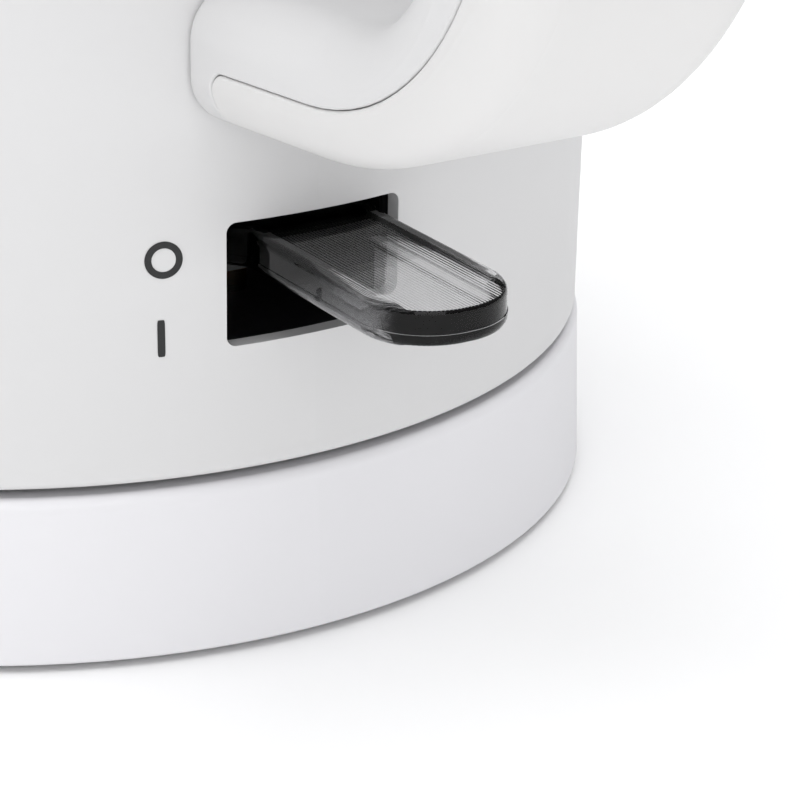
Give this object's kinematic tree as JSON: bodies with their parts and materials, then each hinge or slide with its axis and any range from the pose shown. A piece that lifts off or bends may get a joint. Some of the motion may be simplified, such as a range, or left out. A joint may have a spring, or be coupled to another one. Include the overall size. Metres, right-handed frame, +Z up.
{
  "type": "electric kettle",
  "caption": "White plastic jug kettle on a round power base, with a loop handle, spout, hinged lid, level windows and a ribbed on-off paddle.",
  "frame": {"origin": "centre of the power base's rubber foot ring, on the table", "axes": "+Z up along the jug's axis, +X towards the handle and the switch, -X towards the spout"},
  "size_m": [0.2318, 0.157, 0.2168],
  "materials": {
    "white_plastic": "satin moulded",
    "grey_plastic": "fine grain",
    "black_plastic": "matte",
    "smoky_plastic": "polished, ribbed",
    "clear_plastic": "clear",
    "lamp_glass": "clear",
    "rubber": "matte",
    "silicone": "matte",
    "steel": "brushed",
    "bimetal": "rolled",
    "aluminium": "cast",
    "brass": "plain"
  },
  "bodies": {
    "power_base": {"base_cover": "white_plastic", "base_plate": "grey_plastic", "foot_ring": "rubber", "base_socket": "black_plastic", "socket_contacts": "brass", "cord_gland": "rubber", "base_screws": "steel"},
    "jug": {"jug_body": "white_plastic", "handle_cover": "white_plastic", "window_right": "clear_plastic", "window_left": "clear_plastic", "heating_plate": "steel", "plate_seal": "silicone", "clamp_ring": "steel", "heat_spreader": "aluminium", "heating_element": "aluminium", "control_unit": "black_plastic", "cutout_bimetals": "bimetal", "connector_contacts": "brass", "bottom_cover": "white_plastic", "bottom_screws": "steel", "switch_housing": "black_plastic", "switch_pin": "steel", "switch_spring": "steel", "lamp": "lamp_glass", "steam_bimetal": "bimetal", "steam_tube": "white_plastic", "steam_grommet": "silicone", "hinge_pin": "steel", "lid_spring": "steel", "button_spring": "steel"},
    "switch": {"switch_lever": "smoky_plastic"},
    "lid": {"lid_cap": "white_plastic", "lid_liner": "white_plastic"},
    "button": {"lid_button": "white_plastic"},
    "latch": {"lid_latch": "white_plastic"},
    "filter": {"filter_frame": "white_plastic", "filter_mesh": "steel"}
  },
  "joints": [
    {"name": "jug_lift", "type": "slide", "parent": "power_base", "child": "jug", "axis": [0, 0, 1], "range_m": [0, 0.15]},
    {"name": "switch_hinge", "type": "hinge", "parent": "jug", "child": "switch", "pos_m": [0.052, 0, 0.0532], "axis": [0, 1, 0], "range_deg": [0, 19]},
    {"name": "lid_hinge", "type": "hinge", "parent": "jug", "child": "lid", "pos_m": [0.0684, 0, 0.2096], "axis": [0, 1, 0], "range_deg": [0, 78]},
    {"name": "button_press", "type": "slide", "parent": "jug", "child": "button", "axis": [0, 0, -1], "range_m": [0, 0.003], "stiffness_N_per_m": 300, "springref_m": -0.003, "deforming": ["button_spring"]},
    {"name": "latch_slide", "type": "slide", "parent": "jug", "child": "latch", "axis": [1, 0, 0], "range_m": [0, 0.003]},
    {"name": "filter_lift", "type": "slide", "parent": "jug", "child": "filter", "axis": [0, 0, 1], "range_m": [0, 0.045]}
  ],
  "couplings": [
    {"joint": "latch_slide", "follows": "button_press", "ratio": 1}
  ]
}
